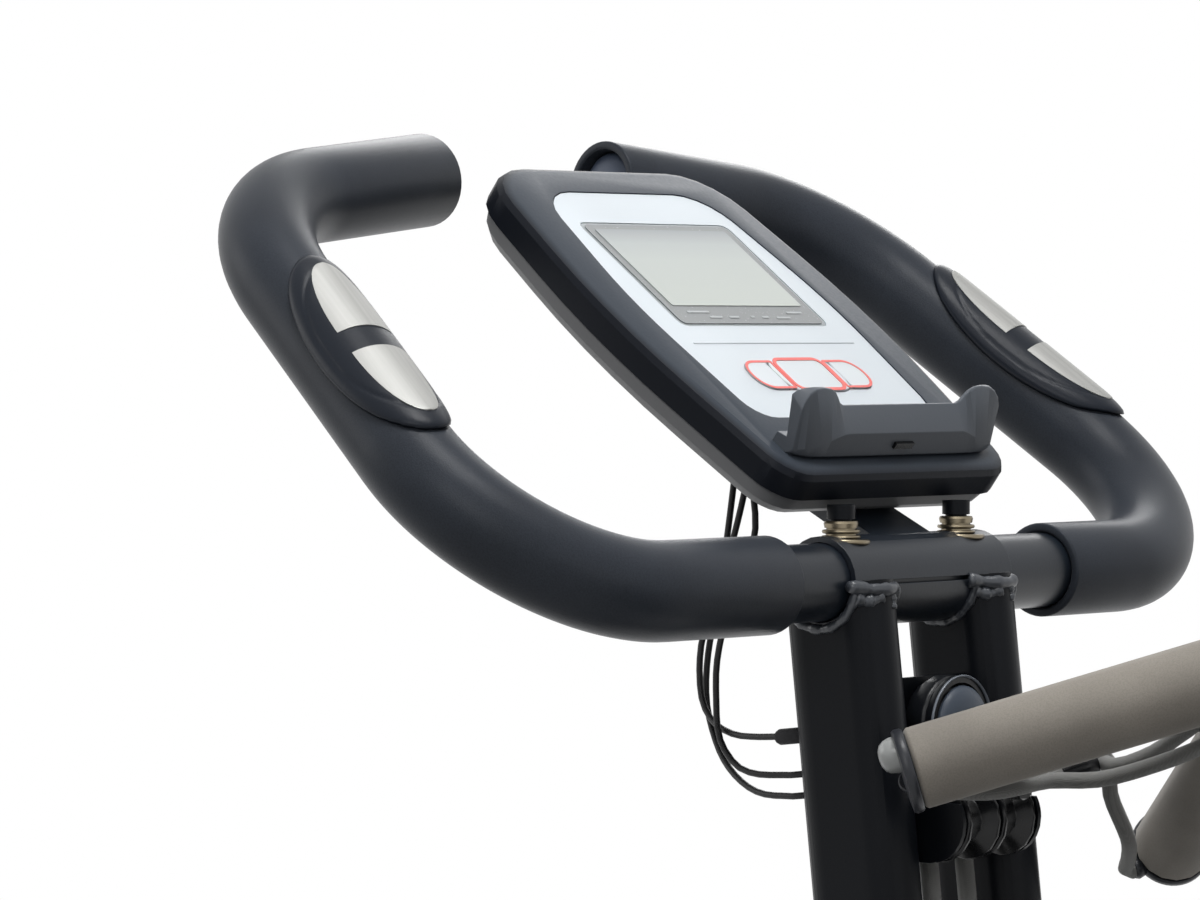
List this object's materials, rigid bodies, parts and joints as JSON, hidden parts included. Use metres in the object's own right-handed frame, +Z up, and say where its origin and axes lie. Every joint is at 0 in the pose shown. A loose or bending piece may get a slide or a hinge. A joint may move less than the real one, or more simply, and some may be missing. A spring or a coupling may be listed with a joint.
{
  "type": "folding recumbent exercise bike",
  "caption": "Folding recumbent exercise bike with loop handlebar, sloped console, pulse grips, band handles, padded seat and enclosed belt drive.",
  "frame": {"origin": "on the floor, midway between the rear foot's back and the transport wheels' front, on the middle plane", "axes": "+X to the rider's right, +Y forward from the seat to the handlebar, +Z up"},
  "size_m": [0.48, 1.07, 1.2471],
  "materials": {
    "black_paint": "satin black powder coat",
    "foam": "matt charcoal closed-cell foam",
    "dark_plastic": "dark blue-grey moulded plastic",
    "steel": "brushed",
    "zinc": "yellow passivated zinc plate",
    "rubber": "matt",
    "grey_plastic": "mid-grey moulded plastic",
    "pale_plastic": "pale blue-grey film",
    "lens": "greenish grey display window",
    "black_plastic": "black moulded plastic",
    "grey_cord": "woven cord cover",
    "taupe_foam": "matt grey-brown foam",
    "silver": "satin",
    "vinyl": "grained imitation leather",
    "cast_iron": "machined"
  },
  "bodies": {
    "main_frame": {"upright_left": "black_paint", "upright_right": "black_paint", "rear_foot_tube": "black_paint", "handlebar_tube": "black_paint", "foam_grip_left": "foam", "foam_grip_right": "foam", "pulse_housing_left": "dark_plastic", "pulse_housing_right": "dark_plastic", "pulse_plate_lower_left": "steel", "pulse_plate_upper_left": "steel", "pulse_plate_lower_right": "steel", "pulse_plate_upper_right": "steel", "clamp_cradle": "black_paint", "clamp_cap": "black_paint", "clamp_bolt_left": "zinc", "clamp_bolt_right": "zinc", "console_top_shell": "dark_plastic", "console_back_shell": "grey_plastic", "console_faceplate": "pale_plastic", "display_lens": "lens", "phone_ledge": "dark_plastic", "pulley_yoke": "black_paint", "band_left": "grey_cord", "band_right": "grey_cord", "band_anchor": "black_paint", "console_wire": "rubber", "sensor_wire_left": "rubber", "sensor_wire_right": "rubber", "pivot_bolt": "steel"},
    "seat_leg": {"seat_leg": "black_paint", "front_foot_tube": "black_paint", "housing_left": "dark_plastic", "housing_right": "dark_plastic", "drive_belt": "rubber"},
    "lock_pin": {"lock_pin": "black_plastic"},
    "tension_knob": {"tension_knob": "rubber"},
    "magnet_arm": {"magnet_arm": "steel"},
    "crankset": {"drive_pulley": "black_plastic", "crank_left": "black_paint", "crank_right": "black_paint"},
    "flywheel": {"flywheel": "cast_iron"},
    "pedal_left": {"pedal_left": "black_plastic"},
    "pedal_right": {"pedal_right": "black_plastic"},
    "seat": {"seat_frame": "black_paint", "seat_cushion": "vinyl", "backrest_cushion": "vinyl"},
    "seat_knob": {"seat_knob": "black_plastic"},
    "key_left": {"key_left": "pale_plastic"},
    "key_middle": {"key_middle": "pale_plastic"},
    "key_right": {"key_right": "pale_plastic"},
    "wheel_left": {"transport_wheel_left": "rubber"},
    "wheel_right": {"transport_wheel_right": "rubber"},
    "pulley_left": {"pulley_left": "black_plastic"},
    "pulley_right": {"pulley_right": "black_plastic"},
    "handle_left": {"handle_foam_left": "taupe_foam", "handle_core_left": "silver", "stirrup_left": "grey_cord"},
    "handle_right": {"handle_foam_right": "taupe_foam", "handle_core_right": "silver", "stirrup_right": "grey_cord"}
  },
  "joints": [
    {"name": "frame_fold", "type": "hinge", "parent": "main_frame", "child": "seat_leg", "pos_m": [0, -0.1, 0.4], "axis": [-1, 0, 0], "range_deg": [0, 32]},
    {"name": "lock_pin_pull", "type": "slide", "parent": "main_frame", "child": "lock_pin", "axis": [1, 0, 0], "range_m": [0, 0.012], "stiffness_N_per_m": 300, "springref_m": -0.004},
    {"name": "tension_turn", "type": "hinge", "parent": "main_frame", "child": "tension_knob", "pos_m": [0, 0.148, 1.0265], "axis": [0, -1, 0], "range_deg": [0, 270]},
    {"name": "magnet_swing", "type": "hinge", "parent": "seat_leg", "child": "magnet_arm", "pos_m": [0, 0.4354, 0.21577], "axis": [-1, 0, 0], "range_deg": [0, 6.75]},
    {"name": "crank_spin", "type": "hinge", "parent": "seat_leg", "child": "crankset", "pos_m": [0, 0.19125, 0.38674], "axis": [-1, 0, 0], "continuous": true},
    {"name": "flywheel_spin", "type": "hinge", "parent": "seat_leg", "child": "flywheel", "pos_m": [0, 0.35512, 0.27198], "axis": [-1, 0, 0], "continuous": true},
    {"name": "pedal_left_spin", "type": "hinge", "parent": "crankset", "child": "pedal_left", "pos_m": [0, 0.02625, 0.38674], "axis": [1, 0, 0], "continuous": true},
    {"name": "pedal_right_spin", "type": "hinge", "parent": "crankset", "child": "pedal_right", "pos_m": [0, 0.35625, 0.38674], "axis": [1, 0, 0], "continuous": true},
    {"name": "seat_height", "type": "slide", "parent": "seat_leg", "child": "seat", "axis": [0, -0.1736, 0.9848], "range_m": [0, 0.06]},
    {"name": "seat_knob_pull", "type": "slide", "parent": "seat_leg", "child": "seat_knob", "axis": [0, -0.9848, -0.1736], "range_m": [0, 0.008], "stiffness_N_per_m": 300, "springref_m": -0.004},
    {"name": "key_left_press", "type": "slide", "parent": "main_frame", "child": "key_left", "axis": [0, 0.6046, -0.7965], "range_m": [0, 0.0005], "stiffness_N_per_m": 400, "springref_m": -0.0005},
    {"name": "key_middle_press", "type": "slide", "parent": "main_frame", "child": "key_middle", "axis": [0, 0.6046, -0.7965], "range_m": [0, 0.0005], "stiffness_N_per_m": 400, "springref_m": -0.0005},
    {"name": "key_right_press", "type": "slide", "parent": "main_frame", "child": "key_right", "axis": [0, 0.6046, -0.7965], "range_m": [0, 0.0005], "stiffness_N_per_m": 400, "springref_m": -0.0005},
    {"name": "wheel_left_roll", "type": "hinge", "parent": "seat_leg", "child": "wheel_left", "pos_m": [0, 0.51, 0.0285], "axis": [1, 0, 0], "continuous": true},
    {"name": "pulley_left_spin", "type": "hinge", "parent": "main_frame", "child": "pulley_left", "pos_m": [-0.0108, 0.127, 0.9925], "axis": [1, 0, 0], "range_deg": [-10, 1260]},
    {"name": "handle_left_pull", "type": "slide", "parent": "main_frame", "child": "handle_left", "axis": [0, -0.5, 0.866], "range_m": [0, 0.25], "stiffness_N_per_m": 60, "springref_m": -0.15},
    {"name": "wheel_right_roll", "type": "hinge", "parent": "seat_leg", "child": "wheel_right", "pos_m": [0, 0.51, 0.0285], "axis": [1, 0, 0], "continuous": true},
    {"name": "pulley_right_spin", "type": "hinge", "parent": "main_frame", "child": "pulley_right", "pos_m": [0.0108, 0.127, 0.9925], "axis": [1, 0, 0], "range_deg": [-10, 1260]},
    {"name": "handle_right_pull", "type": "slide", "parent": "main_frame", "child": "handle_right", "axis": [0, -0.5, 0.866], "range_m": [0, 0.25], "stiffness_N_per_m": 60, "springref_m": -0.15}
  ],
  "couplings": [
    {"joint": "flywheel_spin", "follows": "crank_spin", "ratio": 5.1111},
    {"joint": "magnet_swing", "follows": "tension_turn", "ratio": 0.025},
    {"joint": "pulley_left_spin", "follows": "handle_left_pull", "rad_per_m": 80},
    {"joint": "pulley_right_spin", "follows": "handle_right_pull", "rad_per_m": 80}
  ]
}
